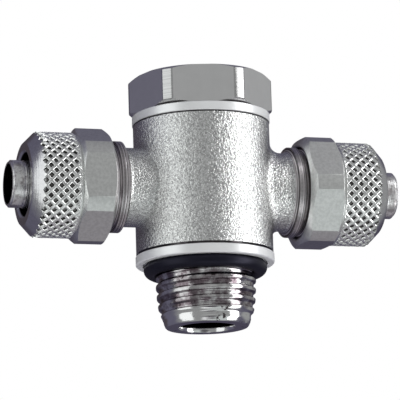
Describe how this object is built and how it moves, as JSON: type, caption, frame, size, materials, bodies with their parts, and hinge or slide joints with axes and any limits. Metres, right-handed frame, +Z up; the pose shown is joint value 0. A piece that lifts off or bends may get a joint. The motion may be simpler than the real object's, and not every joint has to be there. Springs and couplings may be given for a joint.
{
  "type": "swivel tee fitting",
  "caption": "Swivel tee for air tube: hollow hexagon bolt with a male port thread, a tee body that turns on it, and a knurled hexagon nut on each nozzle.",
  "frame": {"origin": "centre of the port thread's flat end face, on the port axis", "axes": "+Z up the port axis from the thread to the hexagon head, X along the two tube ends"},
  "size_m": [0.0526, 0.0184, 0.0333],
  "materials": {
    "turned_nickel": "nickel plated brass, satin flats and bright turned faces",
    "ring_nickel": "nickel plated brass, bright turned",
    "blasted_nickel": "nickel plated brass, blasted forging with turned ends",
    "nut_nickel": "nickel plated brass, satin flats and bright knurl",
    "seal_rubber": "smooth moulded nitrile rubber"
  },
  "bodies": {
    "stem": {"stem_bolt": "turned_nickel", "upper_ring": "ring_nickel", "lower_ring": "ring_nickel", "port_seal": "seal_rubber", "lower_stem_seal": "seal_rubber", "upper_stem_seal": "seal_rubber"},
    "tee": {"tee_body": "blasted_nickel"},
    "left_nut": {"left_nut": "nut_nickel"},
    "right_nut": {"right_nut": "nut_nickel"}
  },
  "joints": [
    {"name": "body_swivel", "type": "hinge", "parent": "stem", "child": "tee", "pos_m": [0, 0, 0.01835], "axis": [0, 0, 1], "continuous": true},
    {"name": "left_nut_turn", "type": "hinge", "parent": "tee", "child": "left_nut", "pos_m": [-0.0132, 0, 0.01835], "axis": [-1, 0, 0], "range_deg": [-270, 1584]},
    {"name": "right_nut_turn", "type": "hinge", "parent": "tee", "child": "right_nut", "pos_m": [0.01285, 0, 0.01835], "axis": [1, 0, 0], "range_deg": [-144, 1710]}
  ]
}
